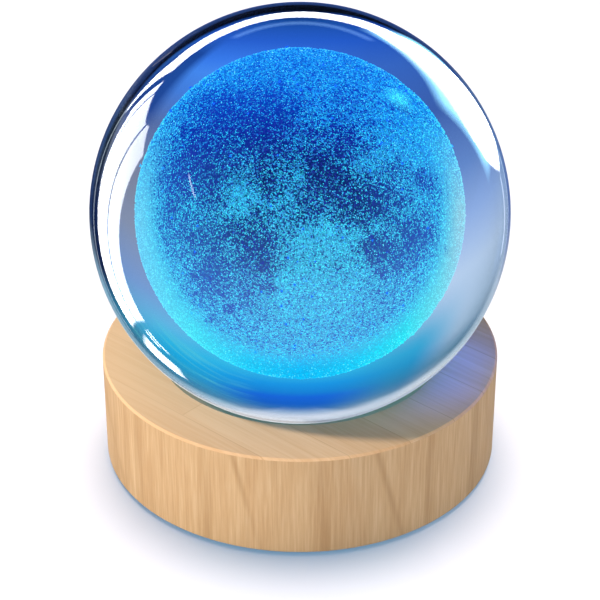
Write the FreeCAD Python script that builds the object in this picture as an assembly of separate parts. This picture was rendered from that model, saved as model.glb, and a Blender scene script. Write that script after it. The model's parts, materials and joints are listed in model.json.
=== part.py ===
"""Crystal ball night light: a glass ball with a moon engraved inside it, resting in a turned wooden base.

The base hides a rechargeable light: colour LEDs under an opal disc, their board, a flat cell,
and a charging socket and one push button at the back.
Millimetres, +Z up, origin on the table under the middle of the base, front towards -Y.
"""

import FreeCAD
import Part
import math
import os

Vector = FreeCAD.Vector

# Ball
BALL_DIAMETER = 80.0
BALL_SINK = 10.3  # how far the ball dips below the top face of the base
MOON_DIAMETER = 42.0  # the engraved dots lie on this sphere
MOON_GAP = 0.05

# Wooden base, from its rim inwards
BASE_DIAMETER = 78.0
BASE_WALL = 3.0  # wood outside the cover
COVER_SHOULDER = 5.0  # ledge that the cover is screwed to
POCKET_WALL = 4.5  # wood left outside the socket and button pockets
POCKET_HEADROOM = 2.6  # how far the pockets rise above the cavity
LIGHT_HOLE_DIAMETER = 32.0
SEAT_ANGLE = 33.0  # slope of the conical seat, in degrees
SEAT_GAP = 0.15
RIM_CHAMFER = 0.4
DISH_CHAMFER = 0.3

# Stack under the ball, from the table upwards; with BALL_SINK it makes the base 22 mm high
FOOT_STAND = 0.6  # the wood stands this far off the table
COVER_THICKNESS = 1.9
PAD_THICKNESS = 0.3
CELL_THICKNESS = 3.0
CELL_HEADROOM = 0.3
BOARD_THICKNESS = 1.0
LED_HEIGHT = 1.6
LED_HEADROOM = 0.6
DIFFUSER_THICKNESS = 2.0
DIFFUSER_GAP = 0.4

# Light cup and diffuser
DIFFUSER_LEDGE = 1.2  # width of the step that the opal disc lies on
DIFFUSER_SIDE_GAP = 0.1
DIFFUSER_CHAMFER = 0.2
CUP_FLARE = 1.8  # the reflector opens by this much towards the top
CUP_WALL = 1.5
CUP_RIM = 1.1  # height of the rim round the opal disc
EAR_RADIUS = 2.8
EAR_WEB_WIDTH = 2.4
EAR_WEB_HEIGHT = 2.0

# Lights
LED_COUNT = 6
LED_SIZE = 5.0
LED_WINDOW_DIAMETER = 4.0
LED_WINDOW_DEPTH = 0.4
LED_CHAMFER = 0.25
LED_SIDE_GAP = 0.9  # from the outer corner of a light to the cup

# Main board
BOARD_MARGIN = 1.5
TONGUE_WIDTH = 11.0
TONGUE_GAP = 0.5
SCREW_HOLE_GAP = 0.2

# Chips and small components
CHIP_BODY = (4.9, 3.9, 1.4)  # length, width, height
CHIP_LEGS_A_SIDE = 4
CHARGER_BODY = (2.9, 1.6, 1.1)
CHARGER_LEGS_A_SIDE = 3
LEG_REACH = 1.0
LEG_WIDTH = 0.4
LEG_THICKNESS = 0.2
CHIP_ANGLE = 128.0
CHARGER_ANGLE = 172.0
PASSIVE_SIZE = (2.0, 1.25, 0.6)
PASSIVE_CHAMFER = 0.12
PASSIVE_FIRST_ANGLES = (195.0, 300.0)
PASSIVE_STEP = 15.0
PASSIVES_A_GROUP = 4

# Charging socket
SOCKET_ANGLE = 90.0
SOCKET_WIDTH = 8.94
SOCKET_HEIGHT = 3.26
SOCKET_LENGTH = 7.35
SOCKET_WALL = 0.3
SOCKET_CORNER = 1.5
SOCKET_MOUTH_GAP = 0.3  # the mouth stops this far inside the pocket's outer face
SOCKET_BACK_GAP = 0.4
SOCKET_LEG = (0.3, 1.1)  # thickness, length
SOCKET_LEG_STAND = 0.6  # the legs stick out under the board by this much
SOCKET_LEG_GAP = 0.15
SOCKET_LEG_INSET = 1.4
TONGUE_SIZE = (4.9, 6.7, 0.7)  # contact tongue: length, width, thickness
TONGUE_BLOCK = 1.6
TONGUE_FIT = 0.05
PLUG_OPENING_WIDTH = 13.0
PLUG_OPENING_HEIGHT = 7.2
PLUG_OPENING_CORNER = 2.5
SOCKET_POCKET_WIDTH = 14.0

# Push button and its switch
BUTTON_ANGLE = 60.0
BUTTON_DIAMETER = 4.8
BUTTON_RUNNING_GAP = 0.1
BUTTON_STANDOUT = 0.8
BUTTON_ROUNDING = 0.6
BUTTON_FLANGE_DIAMETER = 6.8
BUTTON_FLANGE_THICKNESS = 1.2
BUTTON_STEM_DIAMETER = 2.2
BUTTON_TRAVEL = 0.5
BUTTON_POCKET_WIDTH = 9.0
SWITCH_SIZE = (3.5, 4.7, 1.65)  # depth, width, height
SWITCH_INSET = 0.3
PLUNGER_SIZE = (2.0, 0.8)  # width, height
PLUNGER_STANDOUT = 1.0
PLUNGER_HOLD = 0.8  # length that stays inside the switch
PLUNGER_GAP = 0.08

# Cell and its leads
CELL_WIDTH = 25.0
CELL_LENGTH = 30.0
CELL_FORWARD = 2.0  # the cell lies this far in front of the middle
CELL_ROUNDING = 1.2
CELL_PAD_INSET = 3.0
GUARD_SIZE = (20.0, 2.6, 1.4)  # protection board: width, length, thickness
LEAD_DIAMETER = 0.9
LEAD_SPACING = 4.0
LEAD_RUN = 3.4
LEAD_BEND = 1.1

# Bottom cover, feet and screws
COVER_SIDE_GAP = 0.2
COVER_CHAMFER = 0.3
RIB_THICKNESS = 1.2
RIB_HEIGHT = 2.0
RIB_GAP = 0.3
FOOT_DIAMETER = 9.0
FOOT_RECESS = 0.5
FOOT_SIDE_GAP = 0.1
FOOT_ROUNDING = 0.25
FOOT_INSET = 8.8  # from the rim of the cover to the middle of a foot
FOOT_ANGLES = (45.0, 135.0, 225.0, 315.0)
SCREW_ANGLES = (30.0, 150.0, 270.0)
SCREW_DIAMETER = 1.8
SCREW_HEAD_DIAMETER = 3.8
SCREW_HEAD_HEIGHT = 1.2
SCREW_BITE = 5.5  # length in the wood
SCREW_PILOT_GAP = 0.02
SCREW_PILOT_SPARE = 0.4
SCREW_TIP = 0.8
DRIVE_SLOT = (2.2, 0.5, 0.7)  # length, width, depth of the cross recess

# Levels
COVER_BOTTOM = FOOT_STAND
COVER_TOP = COVER_BOTTOM + COVER_THICKNESS
CELL_BOTTOM = COVER_TOP + PAD_THICKNESS
CELL_TOP = CELL_BOTTOM + CELL_THICKNESS
BOARD_BOTTOM = CELL_TOP + CELL_HEADROOM
BOARD_TOP = BOARD_BOTTOM + BOARD_THICKNESS
LED_TOP = BOARD_TOP + LED_HEIGHT
DIFFUSER_BOTTOM = LED_TOP + LED_HEADROOM
DIFFUSER_TOP = DIFFUSER_BOTTOM + DIFFUSER_THICKNESS
CAVITY_TOP = DIFFUSER_BOTTOM + CUP_RIM
POCKET_TOP = CAVITY_TOP + POCKET_HEADROOM
BALL_BOTTOM = DIFFUSER_TOP + DIFFUSER_GAP
BASE_TOP = BALL_BOTTOM + BALL_SINK
SOCKET_MIDDLE = BOARD_TOP + SOCKET_HEIGHT / 2
BUTTON_LEVEL = BOARD_TOP + SWITCH_SIZE[2] / 2

# Radii
BALL_RADIUS = BALL_DIAMETER / 2
BALL_CENTRE = Vector(0, 0, BALL_BOTTOM + BALL_RADIUS)
BASE_RADIUS = BASE_DIAMETER / 2
REBATE_RADIUS = BASE_RADIUS - BASE_WALL
CAVITY_RADIUS = REBATE_RADIUS - COVER_SHOULDER
POCKET_REACH = BASE_RADIUS - POCKET_WALL
BOARD_RADIUS = CAVITY_RADIUS - BOARD_MARGIN
SOCKET_MOUTH = POCKET_REACH - SOCKET_MOUTH_GAP
SOCKET_BACK = SOCKET_MOUTH - SOCKET_LENGTH
SWITCH_FACE = BOARD_RADIUS - SWITCH_INSET
LIGHT_HOLE_RADIUS = LIGHT_HOLE_DIAMETER / 2
CUP_OUTER_RADIUS = LIGHT_HOLE_RADIUS + CUP_WALL
CUP_MOUTH_RADIUS = LIGHT_HOLE_RADIUS - DIFFUSER_LEDGE
CUP_FLOOR_RADIUS = CUP_MOUTH_RADIUS - CUP_FLARE
DIFFUSER_RADIUS = LIGHT_HOLE_RADIUS - DIFFUSER_SIDE_GAP
LED_CIRCLE_RADIUS = CUP_FLOOR_RADIUS - LED_SIDE_GAP - LED_SIZE / math.sqrt(2)
EAR_CIRCLE_RADIUS = (CUP_OUTER_RADIUS + BOARD_RADIUS) / 2
COVER_RADIUS = REBATE_RADIUS - COVER_SIDE_GAP
COVER_SCREW_RADIUS = (REBATE_RADIUS + CAVITY_RADIUS) / 2
SCREW_HOLE_RADIUS = SCREW_DIAMETER / 2 + SCREW_HOLE_GAP
PILOT_RADIUS = SCREW_DIAMETER / 2 + SCREW_PILOT_GAP
CELL_REAR = CELL_LENGTH / 2 - CELL_FORWARD
UP = Vector(0, 0, 1)
OUT = Vector(1, 0, 0)


def disc(radius, bottom, top, x=0.0, y=0.0):
    """Upright cylinder between two levels."""
    return Part.makeCylinder(radius, top - bottom, Vector(x, y, bottom), UP)


def block(x_span, y_span, z_span):
    """Box from three (low, high) spans."""
    low = Vector(x_span[0], y_span[0], z_span[0])
    return Part.makeBox(x_span[1] - x_span[0], y_span[1] - y_span[0], z_span[1] - z_span[0], low)


def spread(width):
    """(low, high) span of a width centred on zero."""
    return (-width / 2, width / 2)


def turned(profile):
    """Solid of revolution about Z from (radius, level) corners."""
    corners = [Vector(radius, 0, level) for radius, level in profile]
    face = Part.Face(Part.makePolygon(corners + corners[:1]))
    return face.revolve(Vector(0, 0, 0), UP, 360)


def at_angle(shape, degrees):
    """Copy of a shape that was drawn along +X, swung round Z."""
    copy = shape.copy()
    copy.rotate(Vector(0, 0, 0), UP, degrees)
    return copy


def round_pattern(shape, angles):
    """Copies of a shape that was drawn along +X, one at each angle."""
    return [at_angle(shape, angle) for angle in angles]


def cut_all(shape, tools):
    for tool in tools:
        shape = shape.cut(tool)
    return shape


def fuse_all(shape, others):
    for other in others:
        shape = shape.fuse(other)
    return shape.removeSplitter()


def rounded_bar(width, height, corner, x_span, level):
    """Bar along X with a rounded-rectangle section, centred on a level."""
    bar = block(x_span, spread(width), (level - height / 2, level + height / 2))
    long_edges = [e for e in bar.Edges if abs(e.tangentAt(e.FirstParameter).x) > 0.9]
    return bar.makeFillet(min(corner, 0.49 * height), long_edges)


def upper_edges(shape):
    """Edges that lie wholly in the highest level of a shape."""
    top = shape.BoundBox.ZMax
    return [e for e in shape.Edges if abs(e.BoundBox.ZMin - top) < 1e-6]


def crystal_ball():
    """Solid glass, left out only where the engraved dots begin."""
    ball = Part.makeSphere(BALL_RADIUS, BALL_CENTRE)
    return ball.cut(Part.makeSphere(MOON_DIAMETER / 2 + MOON_GAP, BALL_CENTRE))


def engraved_moon():
    """Globe of laser-made dots in the middle of the glass."""
    return Part.makeSphere(MOON_DIAMETER / 2, BALL_CENTRE)


def seat_point(radius):
    """(radius, level) on the conical seat, which is tangent to the ball grown by the seat gap."""
    angle = math.radians(SEAT_ANGLE)
    reach = BALL_RADIUS + SEAT_GAP
    touch_level = BALL_CENTRE.z - reach * math.cos(angle)
    return (radius, touch_level + (radius - reach * math.sin(angle)) * math.tan(angle))


def seat_radius_at(level):
    """Radius of the conical seat at a level."""
    level_on_axis = seat_point(0.0)[1]
    return (level - level_on_axis) / math.tan(math.radians(SEAT_ANGLE))


def radial_pocket(width, start):
    """Slot along +X that widens and deepens the cavity towards the rim, open at the bottom."""
    return block((start, POCKET_REACH), spread(width), (COVER_BOTTOM, POCKET_TOP))


def wooden_base():
    """Turned ring: conical ball seat, light hole, cavity and cover rebate, then the routed pockets and holes."""
    dish_radius = seat_radius_at(BASE_TOP - DISH_CHAMFER)
    profile = [
        (LIGHT_HOLE_RADIUS, CAVITY_TOP),
        seat_point(LIGHT_HOLE_RADIUS),
        (dish_radius, BASE_TOP - DISH_CHAMFER),
        (dish_radius + DISH_CHAMFER, BASE_TOP),
        (BASE_RADIUS - RIM_CHAMFER, BASE_TOP),
        (BASE_RADIUS, BASE_TOP - RIM_CHAMFER),
        (BASE_RADIUS, COVER_BOTTOM + RIM_CHAMFER),
        (BASE_RADIUS - RIM_CHAMFER, COVER_BOTTOM),
        (REBATE_RADIUS, COVER_BOTTOM),
        (REBATE_RADIUS, COVER_TOP),
        (CAVITY_RADIUS, COVER_TOP),
        (CAVITY_RADIUS, CAVITY_TOP),
    ]
    wood = turned(profile)
    past_rim = (POCKET_REACH - POCKET_WALL, BASE_RADIUS + POCKET_WALL)
    pockets = [
        at_angle(radial_pocket(SOCKET_POCKET_WIDTH, SOCKET_BACK - SOCKET_BACK_GAP), SOCKET_ANGLE),
        at_angle(radial_pocket(BUTTON_POCKET_WIDTH, SWITCH_FACE), BUTTON_ANGLE),
    ]
    plug_opening = rounded_bar(
        PLUG_OPENING_WIDTH, PLUG_OPENING_HEIGHT, PLUG_OPENING_CORNER, past_rim, SOCKET_MIDDLE
    )
    button_bore = Part.makeCylinder(
        BUTTON_DIAMETER / 2 + BUTTON_RUNNING_GAP,
        past_rim[1] - past_rim[0],
        Vector(past_rim[0], 0, BUTTON_LEVEL),
        OUT,
    )
    holes = [at_angle(plug_opening, SOCKET_ANGLE), at_angle(button_bore, BUTTON_ANGLE)]
    pilot_depth = SCREW_BITE + SCREW_PILOT_SPARE
    cover_pilot = disc(PILOT_RADIUS, COVER_TOP, COVER_TOP + pilot_depth, COVER_SCREW_RADIUS)
    board_pilot = disc(PILOT_RADIUS, CAVITY_TOP, CAVITY_TOP + pilot_depth, EAR_CIRCLE_RADIUS)
    pilots = round_pattern(cover_pilot, SCREW_ANGLES) + round_pattern(board_pilot, SCREW_ANGLES)
    return cut_all(wood, pockets + holes + pilots)


def diffuser_lens():
    """Opal disc that closes the light hole under the ball."""
    lens = disc(DIFFUSER_RADIUS, DIFFUSER_BOTTOM, DIFFUSER_TOP)
    return lens.makeChamfer(DIFFUSER_CHAMFER, upper_edges(lens))


def light_cup():
    """White reflector round the LEDs, with ears that hold the board off the wood."""
    profile = [
        (CUP_FLOOR_RADIUS, BOARD_TOP),
        (CUP_OUTER_RADIUS, BOARD_TOP),
        (CUP_OUTER_RADIUS, CAVITY_TOP),
        (LIGHT_HOLE_RADIUS, CAVITY_TOP),
        (LIGHT_HOLE_RADIUS, DIFFUSER_BOTTOM),
        (CUP_MOUTH_RADIUS, DIFFUSER_BOTTOM),
    ]
    ear = disc(EAR_RADIUS, BOARD_TOP, CAVITY_TOP, EAR_CIRCLE_RADIUS)
    web_levels = (max(CAVITY_TOP - EAR_WEB_HEIGHT, BOARD_TOP), CAVITY_TOP)
    web_span = (CUP_OUTER_RADIUS - CUP_WALL / 2, EAR_CIRCLE_RADIUS)
    web = block(web_span, spread(EAR_WEB_WIDTH), web_levels)
    hole = disc(SCREW_HOLE_RADIUS, BOARD_TOP, CAVITY_TOP, EAR_CIRCLE_RADIUS)
    ears = round_pattern(ear, SCREW_ANGLES) + round_pattern(web, SCREW_ANGLES)
    return cut_all(fuse_all(turned(profile), ears), round_pattern(hole, SCREW_ANGLES))


def led_angles():
    return [360.0 * i / LED_COUNT for i in range(LED_COUNT)]


def led_chips():
    """White square packages in a ring, each with a round dish for its window."""
    span = (LED_CIRCLE_RADIUS - LED_SIZE / 2, LED_CIRCLE_RADIUS + LED_SIZE / 2)
    body = block(span, spread(LED_SIZE), (BOARD_TOP, LED_TOP))
    body = body.makeChamfer(LED_CHAMFER, upper_edges(body))
    dish = disc(LED_WINDOW_DIAMETER / 2, LED_TOP - LED_WINDOW_DEPTH, LED_TOP, LED_CIRCLE_RADIUS)
    return Part.makeCompound(round_pattern(body.cut(dish), led_angles()))


def led_windows():
    """Clear resin that fills the dish of each LED."""
    window = disc(LED_WINDOW_DIAMETER / 2, LED_TOP - LED_WINDOW_DEPTH, LED_TOP, LED_CIRCLE_RADIUS)
    return Part.makeCompound(round_pattern(window, led_angles()))


def socket_leg_spots():
    """(x, y) of the four socket legs, for a socket drawn along +X."""
    rows = (SOCKET_BACK + SOCKET_LEG_INSET, (SOCKET_BACK + SOCKET_MOUTH) / 2)
    side = SOCKET_WIDTH / 2 - SOCKET_LEG[0] / 2
    return [(x, y) for x in rows for y in (-side, side)]


def main_board():
    """Round board with a tongue under the socket, screw holes, socket slots and lead holes."""
    board = disc(BOARD_RADIUS, BOARD_BOTTOM, BOARD_TOP)
    tongue = block((0, POCKET_REACH - TONGUE_GAP), spread(TONGUE_WIDTH), (BOARD_BOTTOM, BOARD_TOP))
    board = fuse_all(board, [at_angle(tongue, SOCKET_ANGLE)])
    hole = disc(SCREW_HOLE_RADIUS, BOARD_BOTTOM, BOARD_TOP, EAR_CIRCLE_RADIUS)
    slot_length = SOCKET_LEG[1] + 2 * SOCKET_LEG_GAP
    slot_width = SOCKET_LEG[0] + 2 * SOCKET_LEG_GAP
    slots = [
        block(
            (x - slot_length / 2, x + slot_length / 2),
            (y - slot_width / 2, y + slot_width / 2),
            (BOARD_BOTTOM, BOARD_TOP),
        )
        for x, y in socket_leg_spots()
    ]
    return cut_all(board, round_pattern(hole, SCREW_ANGLES) + [at_angle(s, SOCKET_ANGLE) for s in slots])


def legged_chip(body_size, legs_a_side):
    """Moulded chip with gull-wing legs, lying across +X at the ear circle."""
    length, width, height = body_size
    middle = EAR_CIRCLE_RADIUS
    base = BOARD_TOP + LEG_THICKNESS
    x_span = (middle - width / 2, middle + width / 2)
    chip = block(x_span, spread(length), (base, base + height))
    shoulder = base + height / 2
    outline = [
        (width / 2 - LEG_THICKNESS, shoulder),
        (width / 2 + LEG_REACH / 2, shoulder),
        (width / 2 + LEG_REACH / 2, BOARD_TOP + LEG_THICKNESS),
        (width / 2 + LEG_REACH, BOARD_TOP + LEG_THICKNESS),
        (width / 2 + LEG_REACH, BOARD_TOP),
        (width / 2 + LEG_REACH / 2 - LEG_THICKNESS, BOARD_TOP),
        (width / 2 + LEG_REACH / 2 - LEG_THICKNESS, shoulder - LEG_THICKNESS),
        (width / 2 - LEG_THICKNESS, shoulder - LEG_THICKNESS),
    ]
    pitch = length / legs_a_side
    legs = []
    for side in (-1, 1):
        corners = [Vector(middle + side * x, 0, z) for x, z in outline]
        face = Part.Face(Part.makePolygon(corners + corners[:1]))
        leg = face.extrude(Vector(0, LEG_WIDTH, 0))
        for i in range(legs_a_side):
            legs.append(leg.translated(Vector(0, (i + 0.5) * pitch - length / 2 - LEG_WIDTH / 2, 0)))
    return fuse_all(chip, legs)


def board_passives():
    """Small resistors and capacitors in two groups on the board."""
    length, width, height = PASSIVE_SIZE
    x_span = (EAR_CIRCLE_RADIUS - width / 2, EAR_CIRCLE_RADIUS + width / 2)
    part = block(x_span, spread(length), (BOARD_TOP, BOARD_TOP + height))
    part = part.makeChamfer(PASSIVE_CHAMFER, upper_edges(part))
    angles = [first + i * PASSIVE_STEP for first in PASSIVE_FIRST_ANGLES for i in range(PASSIVES_A_GROUP)]
    return Part.makeCompound(round_pattern(part, angles))


def socket_shell():
    """Rounded steel tube of the charging socket, with four legs through the board."""
    span = (SOCKET_BACK, SOCKET_MOUTH)
    outer = rounded_bar(SOCKET_WIDTH, SOCKET_HEIGHT, SOCKET_CORNER, span, SOCKET_MIDDLE)
    inner = rounded_bar(
        SOCKET_WIDTH - 2 * SOCKET_WALL,
        SOCKET_HEIGHT - 2 * SOCKET_WALL,
        SOCKET_CORNER - SOCKET_WALL,
        span,
        SOCKET_MIDDLE,
    )
    thickness, length = SOCKET_LEG
    legs = [
        block(
            (x - length / 2, x + length / 2),
            (y - thickness / 2, y + thickness / 2),
            (BOARD_BOTTOM - SOCKET_LEG_STAND, SOCKET_MIDDLE),
        )
        for x, y in socket_leg_spots()
    ]
    return at_angle(fuse_all(outer, legs).cut(inner), SOCKET_ANGLE)


def socket_tongue():
    """Moulded block at the back of the socket, with the contact tongue."""
    filled = 2 * (SOCKET_WALL + TONGUE_FIT)
    rear_block = rounded_bar(
        SOCKET_WIDTH - filled,
        SOCKET_HEIGHT - filled,
        SOCKET_CORNER - filled / 2,
        (SOCKET_BACK, SOCKET_BACK + TONGUE_BLOCK),
        SOCKET_MIDDLE,
    )
    length, width, thickness = TONGUE_SIZE
    tongue = block(
        (SOCKET_BACK + TONGUE_BLOCK / 2, SOCKET_BACK + TONGUE_BLOCK + length),
        spread(width),
        (SOCKET_MIDDLE - thickness / 2, SOCKET_MIDDLE + thickness / 2),
    )
    return at_angle(fuse_all(rear_block, [tongue]), SOCKET_ANGLE)


def switch_body():
    """Low side-acting switch at the edge of the board, with a slot for its plunger."""
    depth, width, height = SWITCH_SIZE
    body = block((SWITCH_FACE - depth, SWITCH_FACE), spread(width), (BOARD_TOP, BOARD_TOP + height))
    slot_depth = PLUNGER_HOLD + BUTTON_TRAVEL + PLUNGER_GAP
    slot_width, slot_height = (size + 2 * PLUNGER_GAP for size in PLUNGER_SIZE)
    slot_levels = (BUTTON_LEVEL - slot_height / 2, BUTTON_LEVEL + slot_height / 2)
    slot = block((SWITCH_FACE - slot_depth, SWITCH_FACE), spread(slot_width), slot_levels)
    return at_angle(body.cut(slot), BUTTON_ANGLE)


def switch_plunger():
    """Small bar that the button pushes into the switch."""
    width, height = PLUNGER_SIZE
    span = (SWITCH_FACE - PLUNGER_HOLD, SWITCH_FACE + PLUNGER_STANDOUT)
    levels = (BUTTON_LEVEL - height / 2, BUTTON_LEVEL + height / 2)
    return at_angle(block(span, spread(width), levels), BUTTON_ANGLE)


def mode_button():
    """Push button: rounded shaft through the rim, a flange that keeps it in and a stem to the switch."""

    def rod(diameter, start, end):
        return Part.makeCylinder(diameter / 2, end - start, Vector(start, 0, BUTTON_LEVEL), OUT)

    flange_outer = POCKET_REACH - BUTTON_RUNNING_GAP
    flange_inner = flange_outer - BUTTON_FLANGE_THICKNESS
    tip = BASE_RADIUS + BUTTON_STANDOUT
    shaft = rod(BUTTON_DIAMETER, flange_inner, tip)
    rim = [e for e in shaft.Edges if abs(e.BoundBox.XMin - tip) < 1e-6]
    shaft = shaft.makeFillet(BUTTON_ROUNDING, rim)
    flange = rod(BUTTON_FLANGE_DIAMETER, flange_inner, flange_outer)
    stem = rod(BUTTON_STEM_DIAMETER, SWITCH_FACE + PLUNGER_STANDOUT, flange_inner)
    return at_angle(fuse_all(shaft, [flange, stem]), BUTTON_ANGLE)


def battery_cell():
    """Flat pouch cell with rounded sides, lying on its pad."""
    y_span = (CELL_REAR - CELL_LENGTH, CELL_REAR)
    cell = block(spread(CELL_WIDTH), y_span, (CELL_BOTTOM, CELL_TOP))
    sides = [e for e in cell.Edges if abs(e.tangentAt(e.FirstParameter).y) > 0.9]
    return cell.makeFillet(min(CELL_ROUNDING, 0.45 * CELL_THICKNESS), sides)


def cell_pad():
    """Double-sided foam tape between the cell and the cover."""
    y_span = (CELL_REAR - CELL_LENGTH + CELL_PAD_INSET, CELL_REAR - CELL_PAD_INSET)
    return block(spread(CELL_WIDTH - 2 * CELL_PAD_INSET), y_span, (COVER_TOP, CELL_BOTTOM))


def cell_middle():
    return (CELL_BOTTOM + CELL_TOP) / 2


def cell_guard():
    """Protection board across the rear end of the cell."""
    width, length, thickness = GUARD_SIZE
    levels = (cell_middle() - thickness / 2, cell_middle() + thickness / 2)
    return block(spread(width), (CELL_REAR, CELL_REAR + length), levels)


def battery_lead(side):
    """Insulated wire from the protection board back and up to the main board."""
    x = side * LEAD_SPACING / 2
    start = Vector(x, CELL_REAR + GUARD_SIZE[1], cell_middle())
    bend_start = start + Vector(0, LEAD_RUN - LEAD_BEND, 0)
    bend_middle = bend_start + Vector(
        0, LEAD_BEND * math.sin(math.pi / 4), LEAD_BEND * (1 - math.cos(math.pi / 4))
    )
    bend_end = bend_start + Vector(0, LEAD_BEND, LEAD_BEND)
    end = Vector(x, bend_end.y, BOARD_BOTTOM)
    path = Part.Wire(
        [
            Part.LineSegment(start, bend_start).toShape(),
            Part.Arc(bend_start, bend_middle, bend_end).toShape(),
            Part.LineSegment(bend_end, end).toShape(),
        ]
    )
    section = Part.Wire(Part.makeCircle(LEAD_DIAMETER / 2, start, Vector(0, 1, 0)))
    return path.makePipeShell([section], True, False)


def screw(x, head_bottom, tip):
    """Countersunk cross-head screw standing point up, threads left out."""
    radius = SCREW_DIAMETER / 2
    head_radius = SCREW_HEAD_DIAMETER / 2
    head_top = head_bottom + SCREW_HEAD_HEIGHT
    body = turned(
        [
            (0, head_bottom),
            (head_radius, head_bottom),
            (radius, head_top),
            (radius, tip - SCREW_TIP),
            (0, tip),
        ]
    )
    length, width, depth = DRIVE_SLOT
    levels = (head_bottom, head_bottom + depth)
    body = body.cut(block(spread(length), spread(width), levels))
    body = body.cut(block(spread(width), spread(length), levels))
    return body.translated(Vector(x, 0, 0))


def cover_screws():
    return round_pattern(screw(COVER_SCREW_RADIUS, COVER_BOTTOM, COVER_TOP + SCREW_BITE), SCREW_ANGLES)


def board_screws():
    head_bottom = BOARD_BOTTOM - SCREW_HEAD_HEIGHT
    return round_pattern(screw(EAR_CIRCLE_RADIUS, head_bottom, CAVITY_TOP + SCREW_BITE), SCREW_ANGLES)


def foot_circle_radius():
    return COVER_RADIUS - FOOT_INSET


def bottom_cover():
    """Moulded plate in the rebate: countersunk holes, foot recesses and a three-sided bay for the cell."""
    plate = disc(COVER_RADIUS, COVER_BOTTOM, COVER_TOP)
    rim = [e for e in plate.Edges if abs(e.BoundBox.ZMax - COVER_BOTTOM) < 1e-6]
    plate = plate.makeChamfer(COVER_CHAMFER, rim)
    half_bay = CELL_WIDTH / 2 + RIB_GAP
    front = CELL_REAR - CELL_LENGTH - RIB_GAP
    rib_levels = (COVER_TOP, COVER_TOP + RIB_HEIGHT)
    ribs = block(
        (-half_bay - RIB_THICKNESS, half_bay + RIB_THICKNESS), (front - RIB_THICKNESS, CELL_REAR), rib_levels
    ).cut(block((-half_bay, half_bay), (front, CELL_REAR), rib_levels))
    cover = fuse_all(plate, [ribs])
    countersink = turned(
        [
            (0, COVER_BOTTOM),
            (SCREW_HEAD_DIAMETER / 2 + SCREW_HOLE_GAP, COVER_BOTTOM),
            (SCREW_HOLE_RADIUS, COVER_BOTTOM + SCREW_HEAD_HEIGHT),
            (SCREW_HOLE_RADIUS, COVER_TOP),
            (0, COVER_TOP),
        ]
    ).translated(Vector(COVER_SCREW_RADIUS, 0, 0))
    recess = disc(
        FOOT_DIAMETER / 2 + FOOT_SIDE_GAP, COVER_BOTTOM, COVER_BOTTOM + FOOT_RECESS, foot_circle_radius()
    )
    return cut_all(cover, round_pattern(countersink, SCREW_ANGLES) + round_pattern(recess, FOOT_ANGLES))


def rubber_feet():
    """Stick-on feet in the recesses of the cover."""
    foot = disc(FOOT_DIAMETER / 2, 0, COVER_BOTTOM + FOOT_RECESS, foot_circle_radius())
    rim = [e for e in foot.Edges if e.BoundBox.ZMax < 1e-6]
    foot = foot.makeFillet(FOOT_ROUNDING, rim)
    return Part.makeCompound(round_pattern(foot, FOOT_ANGLES))


def main():
    parts = {
        "crystal_ball": crystal_ball(),
        "engraved_moon": engraved_moon(),
        "wooden_base": wooden_base(),
        "diffuser_lens": diffuser_lens(),
        "light_cup": light_cup(),
        "led_chips": led_chips(),
        "led_windows": led_windows(),
        "main_board": main_board(),
        "control_chip": at_angle(legged_chip(CHIP_BODY, CHIP_LEGS_A_SIDE), CHIP_ANGLE),
        "charge_chip": at_angle(legged_chip(CHARGER_BODY, CHARGER_LEGS_A_SIDE), CHARGER_ANGLE),
        "board_passives": board_passives(),
        "usb_socket_shell": socket_shell(),
        "usb_socket_tongue": socket_tongue(),
        "switch_body": switch_body(),
        "switch_plunger": switch_plunger(),
        "mode_button": mode_button(),
        "battery_cell": battery_cell(),
        "cell_pad": cell_pad(),
        "cell_protection_board": cell_guard(),
        "battery_lead_red": battery_lead(1),
        "battery_lead_black": battery_lead(-1),
        "bottom_cover": bottom_cover(),
        "cover_screws": Part.makeCompound(cover_screws()),
        "board_screws": Part.makeCompound(board_screws()),
        "rubber_feet": rubber_feet(),
    }
    os.makedirs("parts", exist_ok=True)
    for name, shape in parts.items():
        shape.exportStep(os.path.join("parts", name + ".step"))
        print(name, "solids", len(shape.Solids), "valid", shape.isValid(), "mm3", round(shape.Volume, 2))


main()
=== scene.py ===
"""Looks of a crystal ball night light: a glass ball with a lit moon in it, on a round wooden base."""

import json
import math
import random

import bmesh
import bpy
import numpy as np
from mathutils import Matrix, Vector, noise

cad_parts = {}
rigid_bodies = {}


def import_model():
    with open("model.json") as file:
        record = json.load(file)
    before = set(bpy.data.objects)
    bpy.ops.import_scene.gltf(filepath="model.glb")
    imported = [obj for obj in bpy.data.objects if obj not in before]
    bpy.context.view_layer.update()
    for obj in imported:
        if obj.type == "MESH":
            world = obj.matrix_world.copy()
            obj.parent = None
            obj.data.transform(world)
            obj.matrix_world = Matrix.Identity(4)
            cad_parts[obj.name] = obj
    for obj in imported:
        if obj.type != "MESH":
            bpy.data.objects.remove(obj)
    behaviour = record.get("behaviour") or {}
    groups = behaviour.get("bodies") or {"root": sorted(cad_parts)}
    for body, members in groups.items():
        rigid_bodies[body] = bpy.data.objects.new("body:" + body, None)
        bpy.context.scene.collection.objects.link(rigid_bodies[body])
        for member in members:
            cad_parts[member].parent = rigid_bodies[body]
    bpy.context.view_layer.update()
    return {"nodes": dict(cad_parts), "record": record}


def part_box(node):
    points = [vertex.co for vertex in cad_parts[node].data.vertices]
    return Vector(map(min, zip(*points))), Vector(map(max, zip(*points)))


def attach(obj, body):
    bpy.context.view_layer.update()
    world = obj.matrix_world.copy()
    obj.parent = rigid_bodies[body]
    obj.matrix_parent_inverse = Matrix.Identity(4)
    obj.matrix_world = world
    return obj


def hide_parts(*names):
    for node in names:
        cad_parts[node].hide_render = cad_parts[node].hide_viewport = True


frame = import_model()

MM = 0.001

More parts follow.
